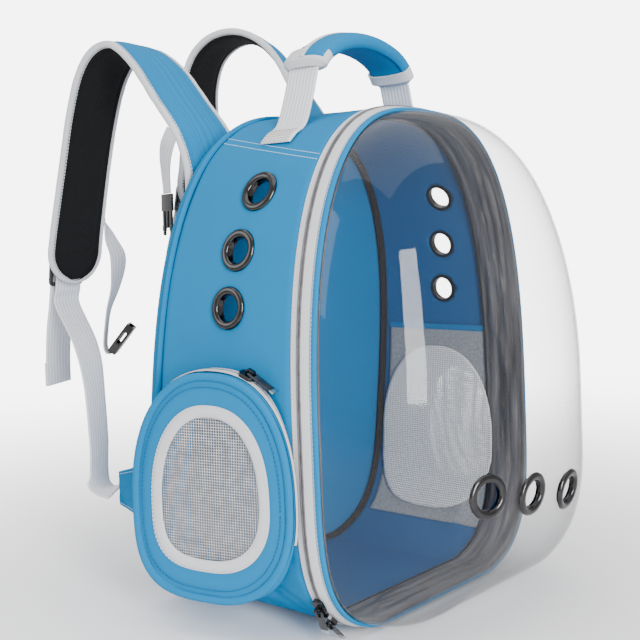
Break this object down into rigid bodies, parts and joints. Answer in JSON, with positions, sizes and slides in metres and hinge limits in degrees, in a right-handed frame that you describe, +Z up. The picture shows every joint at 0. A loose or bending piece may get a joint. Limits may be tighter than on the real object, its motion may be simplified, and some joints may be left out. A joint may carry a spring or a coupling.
{
  "type": "pet carrier backpack",
  "caption": "Blue cloth pet carrier backpack with a clear domed front, round air holes, mesh side pockets, top handle and two padded shoulder straps.",
  "frame": {"origin": "middle of the flat base, on its underside", "axes": "+Z up, -Y towards the clear front, +Y towards the shoulder straps, +X to the right seen from the front"},
  "size_m": [0.3952, 0.5416, 0.5292],
  "materials": {
    "blue_cloth": "woven polyester",
    "grey_tape": "woven tape",
    "grey_webbing": "ribbed webbing",
    "black_cloth": "bound edge",
    "band_film": "wrinkled dark film",
    "net": "open net",
    "clear_plastic": "clear, glossy",
    "dark_metal": "dark polished metal",
    "black_plastic": "glossy moulded plastic",
    "zip_coil": "nylon coil"
  },
  "bodies": {
    "backpack": {"gusset": "blue_cloth", "back_panel": "blue_cloth", "back_piping": "blue_cloth", "tape_body": "grey_tape", "zip_coil": "zip_coil", "tape_door": "grey_tape", "door_strip": "blue_cloth", "bubble": "clear_plastic", "front_band": "band_film", "back_binding": "black_cloth", "eyelet_top_left": "dark_metal", "eyelet_top_right": "dark_metal", "eyelet_middle_left": "dark_metal", "eyelet_middle_right": "dark_metal", "eyelet_low_left": "dark_metal", "eyelet_low_right": "dark_metal", "bubble_eyelet_left": "dark_metal", "bubble_eyelet_centre": "dark_metal", "bubble_eyelet_right": "dark_metal", "pocket_wall_left": "blue_cloth", "pocket_face_left": "blue_cloth", "pocket_rim_left": "blue_cloth", "pocket_trim_left": "grey_tape", "pocket_mesh_left": "net", "pocket_tape_left": "grey_tape", "pocket_slider_left": "dark_metal", "side_net_left": "net", "pocket_wall_right": "blue_cloth", "pocket_face_right": "blue_cloth", "pocket_rim_right": "blue_cloth", "pocket_trim_right": "grey_tape", "pocket_mesh_right": "net", "pocket_tape_right": "grey_tape", "pocket_slider_right": "dark_metal", "side_net_right": "net", "front_slider_upper": "dark_metal", "front_slider_lower": "dark_metal", "handle_webbing": "grey_webbing", "handle_grip": "blue_cloth", "strap_pad_left": "blue_cloth", "strap_binding_left": "grey_tape", "adjuster_left": "black_plastic", "adjuster_loop_left": "grey_webbing", "lower_webbing_left": "grey_webbing", "corner_tab_left": "blue_cloth", "chest_webbing_left": "grey_webbing", "strap_pad_right": "blue_cloth", "strap_binding_right": "grey_tape", "adjuster_right": "black_plastic", "adjuster_loop_right": "grey_webbing", "lower_webbing_right": "grey_webbing", "corner_tab_right": "blue_cloth", "chest_webbing_right": "grey_webbing", "buckle_socket": "black_plastic", "buckle_prongs": "black_plastic"},
    "front_pull_upper": {"front_pull_upper": "black_plastic"},
    "front_pull_lower": {"front_pull_lower": "black_plastic"},
    "pocket_pull_left": {"pocket_pull_left": "black_plastic"},
    "pocket_pull_right": {"pocket_pull_right": "black_plastic"}
  },
  "joints": [
    {"name": "front_pull_upper_hinge", "type": "hinge", "parent": "backpack", "child": "front_pull_upper", "pos_m": [-0.14665, -0.08017, 0.0294], "axis": [0, 1, 0], "range_deg": [-4, 165]},
    {"name": "front_pull_lower_hinge", "type": "hinge", "parent": "backpack", "child": "front_pull_lower", "pos_m": [-0.13377, -0.08049, 0.01543], "axis": [0, 1, 0], "range_deg": [-12, 60]},
    {"name": "pocket_pull_left_hinge", "type": "hinge", "parent": "backpack", "child": "pocket_pull_left", "pos_m": [-0.16791, -0.03665, 0.21173], "axis": [-0.989, -0.0718, -0.1295], "range_deg": [-4, 150]},
    {"name": "pocket_pull_right_hinge", "type": "hinge", "parent": "backpack", "child": "pocket_pull_right", "pos_m": [0.16791, -0.03665, 0.21173], "axis": [-0.989, 0.0718, 0.1295], "range_deg": [-4, 150]}
  ]
}
